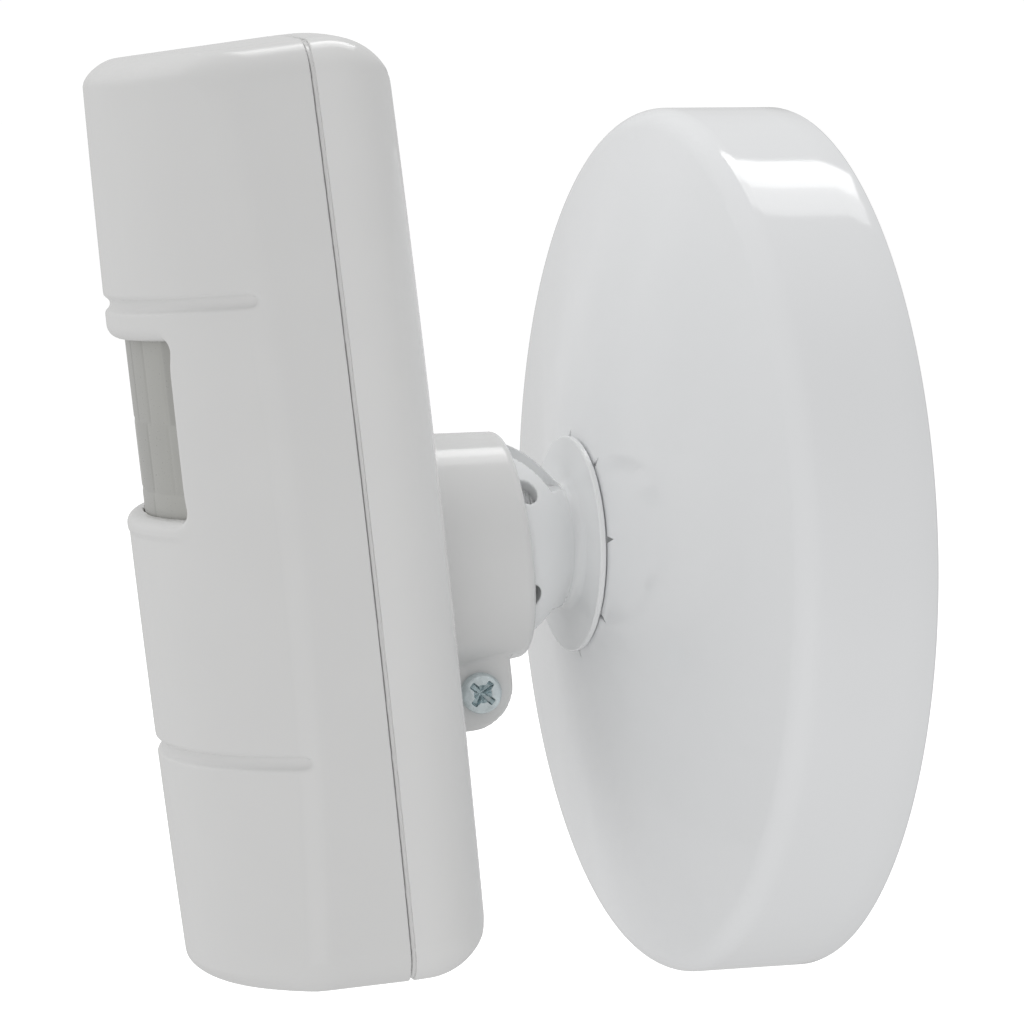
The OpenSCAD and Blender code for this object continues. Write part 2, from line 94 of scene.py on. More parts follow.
# ball: four short slots, and a long flared gap at the top and at the bottom
SLOT_W = 3.4
SLOTS = 6
FIRST_SLOT = 36.0  # degrees
SHORT_SLOT = 4.2  # from the ball's centre back to where a slot's round end starts
SLOT_FLOOR = 2.0  # depth under the surface of the ball
SLOT_EDGE = 0.2
RIB_PITCH = 0.5
RIB_DEPTH = 0.25
GAP_NEAR = 4.5
GAP_FLARE = 0.47  # how much a gap widens per millimetre towards the neck
GAP_FAR = 0.4
GAP_END = 11.5
GAP_EDGE = 1.5
GAP_TO_NECK = 0.5  # ball left standing round the neck

# nipple
NIPPLE_R = 5.1
NIPPLE_BORE = 3.4
NIPPLE_L = 33.0
NIPPLE_PITCH = 1.4
NIPPLE_THREAD = 0.75
NIPPLE_EDGE = 0.3
NIPPLE_LEAD = 0.9  # depth of the chamfer on the thread's ends
NIPPLE_FIT = 0.05

# housing: both shells' outside, from the seam's middle
HALF_W = 32.5
HALF_H = 60.6
SIDE_BOW = 3.5  # how far the long sides bow out
END_BOW = 1.0  # how far the ends bow out
CORNER_R = 4.6
REAR_DEPTH = 10.8
FRONT_DEPTH = 25.8
FRONT_R = 40.4
REAR_EDGE_R = 8.5
TOP_EDGE_R = 4.8
BOTTOM_EDGE_R = 3.8
CREASE_R = 1.2  # between the front and the sides
EDGE_RUN = 1.8  # length of the blend from the crease to an end edge, in edge radii
FRONT_CROWN = 0.86  # how far the front drops back at the ends
DRAFT = 0.03  # per millimetre in front of the seam
WALL = 2.2

# seam: a groove with a ledge behind it, and a tongue that fits in a rebate
SEAM_GAP = 0.6
SEAM_EDGE = 0.15
LEDGE_IN = 0.45
LEDGE_T = 1.5
LEDGE_FOOT = -1.0
LEDGE_TOP = 0.2
TONGUE_IN = 0.9
TONGUE_T = 0.9
TONGUE_FOOT = -1.5
TONGUE_TOP = 2.1
TONGUE_EDGE = 0.2
REBATE_IN = 0.7
REBATE_TOP = 2.3
INNER_CORNER_R = 10.0

# window: rolled edges, wider at the brow and the sill, and a bead under the sill
WINDOW_W = 37.2
WINDOW_H = 22.8
WINDOW_Y = 12.6
WINDOW_CORNER = 1.6
SIDE_EDGE = 1.1
BROW_EDGE = 1.8
SILL_EDGE = 1.5
EDGE_BLEND = 4  # over which a window edge's rounding changes
BEAD_T = 0.2
BEAD_FOOT = (1.9, 2.6)  # where the bead fades out, under the sill
BEAD_SIDE = (WINDOW_W / 2 - 2, WINDOW_W / 2 + 1)  # where it fades out sideways

# grooves across the front
GROOVE_Y = 29.0
GROOVE_DROP = 0.4  # both grooves sit this much lower than GROOVE_Y above and below the middle
GROOVE_R = 0.95
GROOVE_LIFT = 0.2  # how far a groove's centre stands out of the front, short of its ends
GROOVE_EDGE = 0.35
GROOVE_END = (30.4, 31.8)

# lens: rows of fields, each row with its own column width and height of ring centres
LENS_T = 0.8
LENS_FIT = 0.1
LENS_MARGIN = 5.0
LENS_PITCH = 0.9
LENS_STEP = 0.2
LENS_SEAM = 0.08
LENS_ROWS = np.array([4.2, 13.3])  # heights of the seams between the rows
LENS_COLUMNS = np.array([12.0, 6.6, 5.5])
LENS_CENTRES = np.array([0.5, 9.2, 20.0])
LENS_LINES = (150, 90)  # grid lines across and along the sheet

# cup, measured from the ball's centre, and the rooms in it
SEAM_D = 18.35  # from the ball's centre forward to the seam
AXIS_DROP = 8.85  # from the housing's middle down to the ball's centre
CUP_R = 15.4
CUP_TAPER = 0.09  # growth in radius per millimetre towards the housing
CUP_DROP = 0.2
CUP_LIP = -5.6
LIP_EDGE = 1.3
CUP_FILLET = 0.6
POCKET_R = 14.5
POCKET_EDGE = 0.1
SEAT_POCKET_R = 15.5
SEAT_POCKET_Z = 7.05
DOME_T = 1.4
WIRE_HOLE_R = 4.5

# lug with two ears, and the square nut's pocket in one of them
LUG_HALF = 7.0
LUG_REACH = 5.0  # from the screw's axis to the lug's end
LUG_BACK = -2.45
LUG_R = 6.0
LUG_EDGE = 0.5
LUG_TOP = -11.5
SPLIT_W = 1.6
SPLIT_TOP = -13.3
SPLIT_END = 6.5
NUT_SIDE = 5.6
NUT_T = 2.6
NUT_CORNER = 0.2

# clamp screw
SCREW_Y = -18.3
SCREW_Z = 2.1
SCREW_R = 1.5
SCREW_FIT = 0.1
SCREW_L = 13.6
SCREW_PITCH = 0.5
THREAD_H = 0.2
SHANK_EDGE = 0.3
SHANK_IN_HEAD = 0.5
SCREW_HEAD_R = 2.7
SCREW_HEAD_H = 2.0
HEAD_FOOT_EDGE = 0.15
HEAD_LIFT = 0.05  # between the head and the lug
HEAD_EDGE = 0.5
CROWN_R = 6.5

# cross recess in the screw's head, its tapers per millimetre of depth
RECESS_DEPTH = 2.3
RECESS_SLOPE = 0.8  # of the floor, which is deepest on the axis
RECESS_TURN = math.pi / 4
RECESS_EDGE = 0.08
WING_HALF = 0.46
WING_TAPER = 0.12
WING_REACH = 2.1
REACH_TAPER = 0.55
WING_CORNER = 0.15
CORE_R = 1.3
CORE_TAPER = 0.6

# posts for the board's screws
BOARD_SCREW_X = 20.0
BOARD_SCREW_Y = 46.0
BOARD_Z = 1.8
POST_R = 3.0
POST_EDGE = 0.3
POST_HOLE_R = 1.3
POST_HOLE_END = -5.2

# sizes that follow from the ones above
FACE_SLOPE = math.atan((FACE_H - RIM_H) / (CANOPY_R - RIM_EDGE_R - FLANGE_R))
EDGE_CENTRE_R = CANOPY_R - RIM_EDGE_R
EDGE_CENTRE_Z = RIM_H - RIM_EDGE_R
FACE_PEAK = EDGE_CENTRE_Z + RIM_EDGE_R / math.cos(FACE_SLOPE) + EDGE_CENTRE_R * math.tan(FACE_SLOPE)
NOTCH_ANGLES = math.radians(FIRST_NOTCH) + np.arange(NOTCHES) * math.tau / NOTCHES
FLANGE_Z = FACE_PEAK - HUB_HOLE_R * math.tan(FACE_SLOPE) + FLANGE_GAP
HUB_BACK = FACE_H - SHEET - SPIGOT_PAST
SIDE_R = (HALF_H ** 2 + SIDE_BOW ** 2) / (2 * SIDE_BOW)
END_HALF_W = HALF_W - SIDE_BOW
END_R = (END_HALF_W ** 2 + END_BOW ** 2) / (2 * END_BOW)
FRONT_AXIS = FRONT_DEPTH - FRONT_R
LENS_R = FRONT_R - WALL - LENS_FIT
WINDOW_TOP = WINDOW_Y + WINDOW_H / 2
WINDOW_BOTTOM = WINDOW_Y - WINDOW_H / 2
CUP_ROOT = SEAM_D - REAR_DEPTH + WALL / 2

# ---- frames ----

joints = {j["name"]: j for j in frame["joints"]}
ball_centre = Vector(joints["ball_pan"]["pos_m"])
head_x = Vector(joints["ball_tilt"]["axis"]).normalized()
head_front = Vector(joints["cover_pull"]["axis"]).normalized()
head_up = head_front.cross(head_x)


def frame_matrix(x, y, z, origin):
    """A matrix from millimetres along x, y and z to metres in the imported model's frame."""
    turn = Matrix((x, y, z)).transposed().to_4x4()
    return Matrix.Translation(origin) @ turn @ Matrix.Scale(MM, 4)


WALL_FRAME = frame_matrix(Vector((1, 0, 0)), Vector((0, 0, 1)), Vector((0, -1, 0)), Vector((0, 0, 0)))
seam_centre = ball_centre + MM * (AXIS_DROP * head_up + SEAM_D * head_front)
HEAD_FRAME = frame_matrix(head_x, head_up, head_front, seam_centre)
ball_z = -ball_centre.y / MM

# ---- distance fields ----


def both(a, b, r):
    """Where a and b overlap, with the edge between them rounded to radius r, which isn't 0."""
    return np.minimum(-r, np.maximum(a, b)) + np.hypot(np.maximum(r + a, 0), np.maximum(r + b, 0))


def either(a, b, r):
    """a and b together, with a fillet of radius r where they meet."""
    return -both(-a, -b, r)


def cut(a, b, r):
    """a without b, with the cut's edge rounded to radius r."""
    return both(a, -b, r)


def slab(v, low, high):
    """What lies between low and high."""
    return np.maximum(low - v, v - high)


def rounded_box(u, v, half_u, half_v, r):
    """A rectangle with rounded corners, centred."""
    a, b = np.abs(u) - half_u + r, np.abs(v) - half_v + r
    return np.hypot(np.maximum(a, 0), np.maximum(b, 0)) + np.minimum(np.maximum(a, b), 0) - r


def wave(v, pitch):
    """A ridge that repeats each pitch, from 0 in the valleys to 1 on the crests."""
    return 1 - np.abs(2 * (v / pitch % 1) - 1)


def smooth_step(v, low, high):
    """0 below low, 1 above high, and an S curve between them."""
    t = np.clip((v - low) / (high - low), 0, 1)
    return t * t * (3 - 2 * t)


def spaced(low, high, step, *fine):
    """Grid lines from low to just past high, step apart, or closer inside each (low, high, step) of fine."""
    lines = [low]
    while lines[-1] < high:
        here = lines[-1] + 1e-6
        near = [s for a, b, s in fine if a <= here < b]
        reach = min(near) if near else step
        ahead = [a for a, _, s in fine if s < reach and here < a < here + reach]
        lines.append(min(ahead) if ahead else lines[-1] + reach)
    return np.array(lines)


def gradient(field, p, h=0.01):
    """The field's value at points p, and its gradient there."""
    g = np.empty_like(p)
    for k in range(3):
        d = np.zeros(3)
        d[k] = h
        g[:, k] = field(*(p + d).T) - field(*(p - d).T)
    return field(*p.T), g / (2 * h)


def surface_net(field, axes, passes=5):
    """Points, quads and normals of the surface where the field is zero, on a grid of these lines.

    Each grid cell that the surface crosses has one point, which starts in the middle of its edges'
    crossings and is then moved to the surface, by at most three quarters of its cell's size each way.
    """
    x, y, z = np.meshgrid(*axes, indexing="ij", sparse=True)
    f = np.broadcast_to(field(x, y, z), [len(a) for a in axes])
    cells = np.array(f.shape) - 1
    total = int(np.prod(cells))
    sums, count, crossings = np.zeros((total, 3)), np.zeros(total), []
    for k in range(3):
        a, b = [i for i in range(3) if i != k]
        low = f[tuple(slice(0, -1) if i == k else slice(None) for i in range(3))]
        high = f[tuple(slice(1, None) if i == k else slice(None) for i in range(3))]
        at = np.argwhere((low < 0) != (high < 0))
        f0, f1 = low[tuple(at.T)], high[tuple(at.T)]
        p = np.stack([axes[i][at[:, i]] for i in range(3)], 1)
        p[:, k] += f0 / (f0 - f1) * (axes[k][at[:, k] + 1] - axes[k][at[:, k]])
        ring = []
        for da, db in ((-1, -1), (0, -1), (0, 0), (-1, 0)):
            cell = at.copy()
            cell[:, a] += da
            cell[:, b] += db
            index = np.ravel_multi_index(tuple(np.clip(cell, 0, cells - 1).T), cells)
            ring.append(index)
            count += np.bincount(index, minlength=total)
            for i in range(3):
                sums[:, i] += np.bincount(index, p[:, i], total)
        quad = np.stack(ring, 1)
        flip = (f0 < 0) == (k == 1)
        quad[flip] = quad[flip][:, ::-1]
        crossings.append(quad)
    used = np.flatnonzero(count)
    points = sums[used] / count[used, None]
    number = np.full(total, -1)
    number[used] = np.arange(len(used))
    home = np.stack(np.unravel_index(used, cells), 1)
    size = np.stack([np.diff(axes[i])[home[:, i]] for i in range(3)], 1)
    start = points.copy()
    for _ in range(passes):
        value, g = gradient(field, points)
        points -= (value / np.maximum((g ** 2).sum(1), 1e-3))[:, None] * g
        points = np.clip(points, start - 0.75 * size, start + 0.75 * size)
    _, g = gradient(field, points)
    return points, number[np.concatenate(crossings)], g / np.linalg.norm(g, axis=1)[:, None]


# ---- making pieces ----


def mesh_piece(name, points, faces, body, nodes, material, normals=None, place=None):
    """A smooth mesh from points in millimetres, on its body, standing for its CAD nodes."""
    place = np.array(place or WALL_FRAME)
    mesh = bpy.data.meshes.new(name)
    mesh.from_pydata((points @ place[:3, :3].T + place[:3, 3]).tolist(), [], faces.tolist())
    mesh.polygons.foreach_set("use_smooth", [True] * len(mesh.polygons))
    mesh.materials.append(material)
    mesh.update()
    if normals is not None:
        mesh.normals_split_custom_set_from_vertices((normals @ place[:3, :3].T / MM).tolist())
    piece = bpy.data.objects.new(name, mesh)
    bpy.context.scene.collection.objects.link(piece)
    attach(piece, body)
    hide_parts(*nodes)
    return piece


def solid_piece(name, field, axes, body, node, material, place=None):
    """A piece whose surface is where its field is zero."""
    points, quads, normals = surface_net(field, axes)
    return mesh_piece(name, points, quads, body, [node], material, normals, place)


# ---- the housing ----


def bowed_plan(x, y, inset, corner_r):
    """The housing at its seam, seen from the front: bowed sides and ends, moved in by inset."""
    sides = np.hypot(np.abs(x) + SIDE_R - HALF_W, y) - SIDE_R
    ends = np.hypot(x, np.abs(y) + END_R - HALF_H) - END_R
    return both(sides + inset, ends + inset, corner_r)


def outline(x, y, z):
    """The housing's outside, with a little draft towards the front."""
    return bowed_plan(x, y, 0, CORNER_R) + DRAFT * np.maximum(z, 0)


def inner_outline(x, y, inset):
    """The outline moved in, with rounder corners, where the two shells overlap."""
    return bowed_plan(x, y, inset, INNER_CORNER_R)


def front_surface(x, y, z):
    """The curved front, which drops back a little towards the top and bottom."""
    return np.hypot(x, z - FRONT_AXIS) - FRONT_R + FRONT_CROWN * (y / HALF_H) ** 2


def housing_block(x, y, z):
    """Both shells as one rounded solid."""
    top = smooth_step(y, HALF_H - EDGE_RUN * TOP_EDGE_R, HALF_H)
    bottom = smooth_step(-y, HALF_H - EDGE_RUN * BOTTOM_EDGE_R, HALF_H)
    edge = CREASE_R + (TOP_EDGE_R - CREASE_R) * top + (BOTTOM_EDGE_R - CREASE_R) * bottom
    front = both(outline(x, y, z), front_surface(x, y, z), edge)
    return both(front, -z - REAR_DEPTH, REAR_EDGE_R)


def front_cover(x, y, z):
    """The front shell: two grooves, the window with its rolled edges, and the rebate inside."""
    body = housing_block(x, y, z)
    above, below = y - WINDOW_TOP, WINDOW_BOTTOM - y
    bead = smooth_step(below, -1, 0) * (1 - smooth_step(below, *BEAD_FOOT))
    bead = bead * (1 - smooth_step(np.abs(x), *BEAD_SIDE))
    lift = GROOVE_LIFT + (GROOVE_R - GROOVE_LIFT) * smooth_step(np.abs(x), *GROOVE_END)
    sunk = front_surface(x, y, z) - lift
    groove = np.hypot(sunk, np.abs(y + GROOVE_DROP) - GROOVE_Y) - GROOVE_R
    outside = cut(body - BEAD_T * bead, groove, GROOVE_EDGE)
    opening = rounded_box(x, y - WINDOW_Y, WINDOW_W / 2, WINDOW_H / 2, WINDOW_CORNER)
    brow, sill = smooth_step(above, -EDGE_BLEND, 0), smooth_step(below, -EDGE_BLEND, 0)
    edge = SIDE_EDGE + (BROW_EDGE - SIDE_EDGE) * brow + (SILL_EDGE - SIDE_EDGE) * sill
    outside = both(cut(outside, opening, edge), SEAM_GAP / 2 - z, SEAM_EDGE)
    rebate = np.maximum(inner_outline(x, y, REBATE_IN), z - REBATE_TOP)
    return np.maximum(np.maximum(outside, -(body + WALL)), -rebate)


def ball_cup(x, v, w):
    """The cup that holds the ball, and the two-eared lug under it, measured from the ball's centre."""
    end = w - CUP_ROOT
    side = np.hypot(x, v + CUP_DROP) - CUP_R - CUP_TAPER * w
    cup = np.maximum(both(side, CUP_LIP - w, LIP_EDGE), end)
    profile = both(SCREW_Y - LUG_REACH - v, LUG_BACK - w, LUG_R)
    lug = both(np.abs(x) - LUG_HALF, profile, LUG_EDGE)
    return either(cup, np.maximum(lug, np.maximum(v - LUG_TOP, end)), CUP_FILLET)


def cup_holes(x, v, w):
    """The wire hole, the split between the ears, the screw's hole and the nut's pocket."""
    wires = np.maximum(np.hypot(x, v) - WIRE_HOLE_R, -w)
    split = np.maximum(np.abs(x) - SPLIT_W / 2, np.maximum(v - SPLIT_TOP, w - SPLIT_END))
    screw = np.hypot(v - SCREW_Y, w - SCREW_Z) - SCREW_R - SCREW_FIT
    nut = rounded_box(v - SCREW_Y, w - SCREW_Z, NUT_SIDE / 2, NUT_SIDE / 2, NUT_CORNER)
    nut = np.maximum(nut, x + LUG_HALF - NUT_T)
    return np.minimum(np.minimum(wires, split), np.minimum(screw, nut))


def rear_housing(x, y, z):
    """The rear shell: ball cup and lug behind, seam ledge, tongue and four posts for the board inside."""
    body = housing_block(x, y, z)
    v, w = y + AXIS_DROP, z + SEAM_D
    from_ball = np.sqrt(x ** 2 + v ** 2 + w ** 2)
    outside = either(both(body, z + SEAM_GAP / 2, SEAM_EDGE), ball_cup(x, v, w), CUP_FILLET)
    hollow = np.maximum(body + WALL, SEAT_POCKET_R + DOME_T - from_ball)
    ring = np.maximum(inner_outline(x, y, TONGUE_IN), -inner_outline(x, y, TONGUE_IN + TONGUE_T))
    tongue = both(ring, slab(z, TONGUE_FOOT, TONGUE_TOP), TONGUE_EDGE)
    plan = outline(x, y, z)
    ledge = np.maximum(slab(plan, -LEDGE_IN - LEDGE_T, -LEDGE_IN), slab(z, LEDGE_FOOT, LEDGE_TOP))
    from_post = np.hypot(np.abs(x) - BOARD_SCREW_X, np.abs(y) - BOARD_SCREW_Y)
    post = np.maximum(both(from_post - POST_R, z - BOARD_Z, POST_EDGE), body + WALL / 2)
    post_hole = np.maximum(from_post - POST_HOLE_R, POST_HOLE_END - z)
    shell = np.maximum(outside, -hollow)
    whole = np.minimum(np.minimum(shell, post), np.minimum(tongue, ledge))
    pocket = np.minimum(from_ball - POCKET_R, np.maximum(from_ball - SEAT_POCKET_R, SEAT_POCKET_Z - w))
    whole = cut(whole, pocket, POCKET_EDGE)
    return np.maximum(whole, -np.minimum(post_hole, cup_holes(x, v, w)))


# ---- hub, canopy, screw and nipple ----


def ball_slots(x, y, w, from_ball):
    """The gaps and slots, with fine ribs on their floors. The gaps take the place of every third slot."""
    gap = both(np.maximum(x + GAP_FLARE * w - GAP_NEAR, -x - GAP_FAR), -w - GAP_END, GAP_EDGE)
    slots = np.maximum(gap, NECK_R + GAP_TO_NECK - np.abs(y))
    for i in range(SLOTS):
        if i % 3 == 1:
            continue
        a = math.radians(FIRST_SLOT + i * 360 / SLOTS)
        out, side = x * math.cos(a) + y * math.sin(a), y * math.cos(a) - x * math.sin(a)
        slot = np.maximum(np.hypot(side, np.minimum(w + SHORT_SLOT, 0)) - SLOT_W / 2, -out)
        slots = np.minimum(slots, slot)
    return np.maximum(slots, BALL_R - SLOT_FLOOR + RIB_DEPTH * wave(w, RIB_PITCH) - from_ball)


def hub_ball(x, y, z):
    """Flange, spigot in the canopy's hole, flared neck and slotted ball, with threads inside."""
    r, w = np.hypot(x, y), z - ball_z
    from_ball = np.hypot(r, w)
    thickness = FLANGE_T + FLANGE_DISH * smooth_step(-r, -FLANGE_R, -NECK_R)
    flange = both(r - FLANGE_R, slab(z - FLANGE_Z, 0, thickness), FLANGE_EDGE)
    spigot = both(r - HUB_HOLE_R + SPIGOT_FIT, slab(z, HUB_BACK, FLANGE_Z + SPIGOT_IN_FLANGE), SPIGOT_EDGE)
    neck = np.maximum(r - NECK_R, slab(z, FLANGE_Z, ball_z))
    solid = either(np.minimum(flange, spigot), neck, FLARE_R)
    solid = either(solid, both(from_ball - BALL_R, w - BALL_FRONT, BALL_FRONT_EDGE), NECK_FILLET)
    thread = THREAD_DEPTH * wave(z + THREAD_PITCH * np.arctan2(y, x) / math.tau, THREAD_PITCH)
    hollow = np.minimum(from_ball - BALL_R + BALL_WALL - thread, np.maximum(r - BALL_MOUTH, -w))
    bore = np.maximum(r - NIPPLE_R - NIPPLE_FIT - thread * (z > NIPPLE_L), w)
    solid = cut(solid, ball_slots(x, y, w, from_ball), SLOT_EDGE)
    return np.maximum(solid, -np.minimum(hollow, bore))


def cross_recess(y, z, depth):
    """Two wings and a tapered core, whose floor rises away from the axis."""
    r = np.hypot(y, z)
    u = y * math.cos(RECESS_TURN) + z * math.sin(RECESS_TURN)
    v = z * math.cos(RECESS_TURN) - y * math.sin(RECESS_TURN)
    half, reach = WING_HALF - WING_TAPER * depth, WING_REACH - REACH_TAPER * depth
    wing_v = both(np.abs(u) - half, np.abs(v) - reach, WING_CORNER)
    wing_u = both(np.abs(v) - half, np.abs(u) - reach, WING_CORNER)
    core = r - CORE_R + CORE_TAPER * depth
    floor = depth + RECESS_SLOPE * r - RECESS_DEPTH
    return np.maximum(np.minimum(np.minimum(wing_v, wing_u), core), floor)


def clamp_screw(x, y, z):
    """A pan head screw along x, its head's underside at x = 0, with a cross recess."""
    r = np.hypot(y, z)
    crown = np.hypot(x - SCREW_HEAD_H + CROWN_R, r) - CROWN_R
    head = both(both(r - SCREW_HEAD_R, -x, HEAD_FOOT_EDGE), crown, HEAD_EDGE)
    thread = THREAD_H * (1 - wave(x + SCREW_PITCH * np.arctan2(z, y) / math.tau, SCREW_PITCH))
    shank = both(r - SCREW_R + thread, slab(x, -SCREW_L, SHANK_IN_HEAD), SHANK_EDGE)
    return cut(np.minimum(head, shank), cross_recess(y, z, SCREW_HEAD_H - x), RECESS_EDGE)


def joined_loops(points, closed=True):
    """Points and quads of a surface through rows of points, each row a closed loop."""
    n, m = points.shape[:2]
    i, j = np.meshgrid(np.arange(n if closed else n - 1), np.arange(m), indexing="ij")
    k, l = (i + 1) % n, (j + 1) % m
    quads = np.stack([i * m + j, k * m + j, k * m + l, i * m + l], -1).reshape(-1, 4)
    return points.reshape(-1, 3), quads


def about_axis(angles, radii, heights):
    """Rows of points, one row for each angle round the z axis."""
    a = angles[:, None]
    return np.stack(np.broadcast_arrays(radii * np.cos(a), radii * np.sin(a), heights), -1)


def canopy_height(r, inset=0.0):
    """How far the canopy's face is from the wall at radius r, inset by the sheet's thickness."""
    return FACE_PEAK - inset / math.cos(FACE_SLOPE) - r * math.tan(FACE_SLOPE)


def hole_radii(angles):
    """The canopy's hole at each angle: round, with small pointed notches."""
    turn = (angles[:, None] - NOTCH_ANGLES + math.pi) % math.tau - math.pi
    off = np.abs(turn).min(1) * HUB_HOLE_R
    return HUB_HOLE_R + (NOTCH_TIP - HUB_HOLE_R) * np.clip(1 - off / NOTCH_HALF, 0, 1)


def canopy_angles():
    """Even steps round the canopy, with closer ones at each notch."""
    near_notches = NOTCH_ANGLES[:, None] + np.linspace(-0.1, 0.1, 13)
    even = np.linspace(0, math.tau, CANOPY_STEPS, False)
    return np.unique(np.round(np.concatenate([even, near_notches.ravel()]), 5))


def rounded_rim(inset):
    """Radii and heights along the rim's rounded edge, inset by the sheet's thickness."""
    a = np.linspace(0, math.pi / 2 - FACE_SLOPE, 12)
    r = RIM_EDGE_R - inset
    return EDGE_CENTRE_R + r * np.cos(a), EDGE_CENTRE_Z + r * np.sin(a)


def canopy_points():
    """Round the sheet: up the rim, over the edge, in along the face, through the hole and back inside."""
    angles = canopy_angles()
    hole = hole_radii(angles)[:, None]
    wide = np.ones((len(angles), 1))
    face = wide * np.linspace(FACE_OUT_R, FACE_IN_R, 12)
    near_hole = FACE_IN_R + (hole + HOLE_EDGE - FACE_IN_R) * np.array([0.5, 0.8, 0.95])
    face = np.hstack([face, near_hole])
    back = face[:, ::-1]
    out_r, out_z = rounded_rim(0)
    in_r, in_z = rounded_rim(SHEET)
    foot_r = CANOPY_R - np.array([SHEET, RIM_FOOT, RIM_FOOT / 4, 0, 0, 0, 0])
    foot_z = np.array([0, 0, RIM_FOOT / 4, RIM_FOOT, 4, 8, 12])
    radii = np.hstack([
        wide * foot_r, wide * out_r, face, hole + HOLE_EDGE, hole,
        hole, hole + HOLE_EDGE, back, wide * in_r[::-1], wide * (CANOPY_R - SHEET),
    ])
    heights = np.hstack([
        wide * foot_z, wide * out_z, canopy_height(face),
        canopy_height(hole + HOLE_EDGE), canopy_height(hole) - HOLE_EDGE,
        canopy_height(hole, SHEET) + HOLE_EDGE, canopy_height(hole + HOLE_EDGE, SHEET),
        canopy_height(back, SHEET), wide * in_z[::-1], wide * RIM_FOOT,
    ])
    return about_axis(angles, radii, heights)


def nipple_points():
    """A pipe with its thread cut along its whole length."""
    angles = np.linspace(0, math.tau, 64, False)
    heights = np.linspace(NIPPLE_EDGE, NIPPLE_L - NIPPLE_EDGE, 260)
    ridge = wave(heights[None, :] + NIPPLE_PITCH * angles[:, None] / math.tau, NIPPLE_PITCH)
    outside = NIPPLE_R - NIPPLE_THREAD * (1 - smooth_step(ridge, 0.1, 0.9))
    wide = np.ones((len(angles), 1))
    lead_r, bore_r = NIPPLE_R - NIPPLE_LEAD, NIPPLE_BORE + NIPPLE_EDGE
    inside = np.array([lead_r, bore_r, NIPPLE_BORE, NIPPLE_BORE, bore_r, lead_r])
    ends = [NIPPLE_L, NIPPLE_L, NIPPLE_L - NIPPLE_EDGE, NIPPLE_EDGE, 0, 0]
    return about_axis(angles, np.hstack([outside, wide * inside]), wide * np.concatenate([heights, ends]))


def lens_piece(material):
    """The curved lens sheet: smooth in front, with stepped rings behind each of its fields."""
    across, along = LENS_LINES
    x = np.linspace(-0.5, 0.5, across)[:, None] * (WINDOW_W + LENS_MARGIN)
    y = np.linspace(-0.5, 0.5, along)[None, :] * (WINDOW_H + LENS_MARGIN) + WINDOW_Y
    x, y = np.broadcast_arrays(x, y)
    row = np.searchsorted(LENS_ROWS, y)
    width = LENS_COLUMNS[row]
    shift = 0.5 * (row % 2)
    column = np.round(x / width + shift)
    off_centre = x - (column - shift) * width
    steps = LENS_STEP * (np.hypot(off_centre, y - LENS_CENTRES[row]) / LENS_PITCH % 1)
    from_row = np.abs(y - LENS_ROWS[:, None, None]).min(0)
    edge = np.minimum(np.abs(np.abs(off_centre) - width / 2), from_row)
    seam = LENS_SEAM * (1 - smooth_step(edge, 0.1, 0.4))
    z_out = FRONT_AXIS + np.sqrt(LENS_R ** 2 - x ** 2) - seam
    z_in = FRONT_AXIS + np.sqrt((LENS_R - LENS_T) ** 2 - x ** 2) + steps
    front = np.stack([x, y, z_out], -1)
    back = np.stack([x, y, z_in], -1)[:, ::-1]
    points, quads = joined_loops(np.concatenate([front, back], 1), closed=False)
    j = np.arange(along - 1)
    cap = np.stack([j, j + 1, 2 * along - 2 - j, 2 * along - 1 - j], 1)
    far_cap = cap[:, ::-1] + 2 * along * (across - 1)
    quads = np.concatenate([quads, cap, far_cap])
    piece = mesh_piece("fresnel_lens_sheet", points, quads, "cover", ["fresnel_lens"],
                       material, place=HEAD_FRAME)
    # painted shade: each field of the lens gets its own lighter or darker tone, standing in for how that field
    # catches the light
    tone = 0.5 + 0.5 * np.sin(2.4 * column + 1.9 * row)
    tone = np.concatenate([tone, tone[:, ::-1]], 1).ravel()
    shade = piece.data.attributes.new("painted_field_shade", "FLOAT", "POINT")
    shade.data.foreach_set("value", tone.astype(np.float32))


# ---- materials ----


def finish(name, colour, roughness, grain=3000, mottle=90, contrast=0.03, bump=MICRON, metallic=0.0,
           **sockets):
    """A finish whose colour, gloss and surface vary a little, as a moulding, paint or plating does."""
    material = bpy.data.materials.new(name)
    material.use_nodes = True
    nodes, links = material.node_tree.nodes, material.node_tree.links
    shader = nodes["Principled BSDF"]
    shader.inputs["Metallic"].default_value = metallic
    for socket, value in sockets.items():
        shader.inputs[socket.replace("_", " ")].default_value = value
    place = nodes.new("ShaderNodeTexCoord")

    def noise(scale, detail):
        texture = nodes.new("ShaderNodeTexNoise")
        texture.inputs["Scale"].default_value = scale
        texture.inputs["Detail"].default_value = detail
        links.new(place.outputs["Object"], texture.inputs["Vector"])
        return texture.outputs["Fac"]

    broad, fine = noise(mottle, 3), noise(grain, 1)
    ramp = nodes.new("ShaderNodeValToRGB")
    ramp.color_ramp.elements[0].position, ramp.color_ramp.elements[1].position = 0.3, 0.7
    for stop, level in zip(ramp.color_ramp.elements, (1 - contrast, 1)):
        stop.color = [level * c for c in colour] + [1]
    links.new(broad, ramp.inputs["Fac"])
    links.new(ramp.outputs["Color"], shader.inputs["Base Color"])
    gloss = nodes.new("ShaderNodeMapRange")
    gloss.inputs["To Min"].default_value = 0.8 * roughness
    gloss.inputs["To Max"].default_value = 1.2 * roughness
    links.new(fine, gloss.inputs["Value"])
    links.new(gloss.outputs["Result"], shader.inputs["Roughness"])
    relief = nodes.new("ShaderNodeBump")
    relief.inputs["Strength"].default_value = 0.6
    relief.inputs["Distance"].default_value = bump
    links.new(fine, relief.inputs["Height"])
    links.new(relief.outputs["Normal"], shader.inputs["Normal"])
    return material


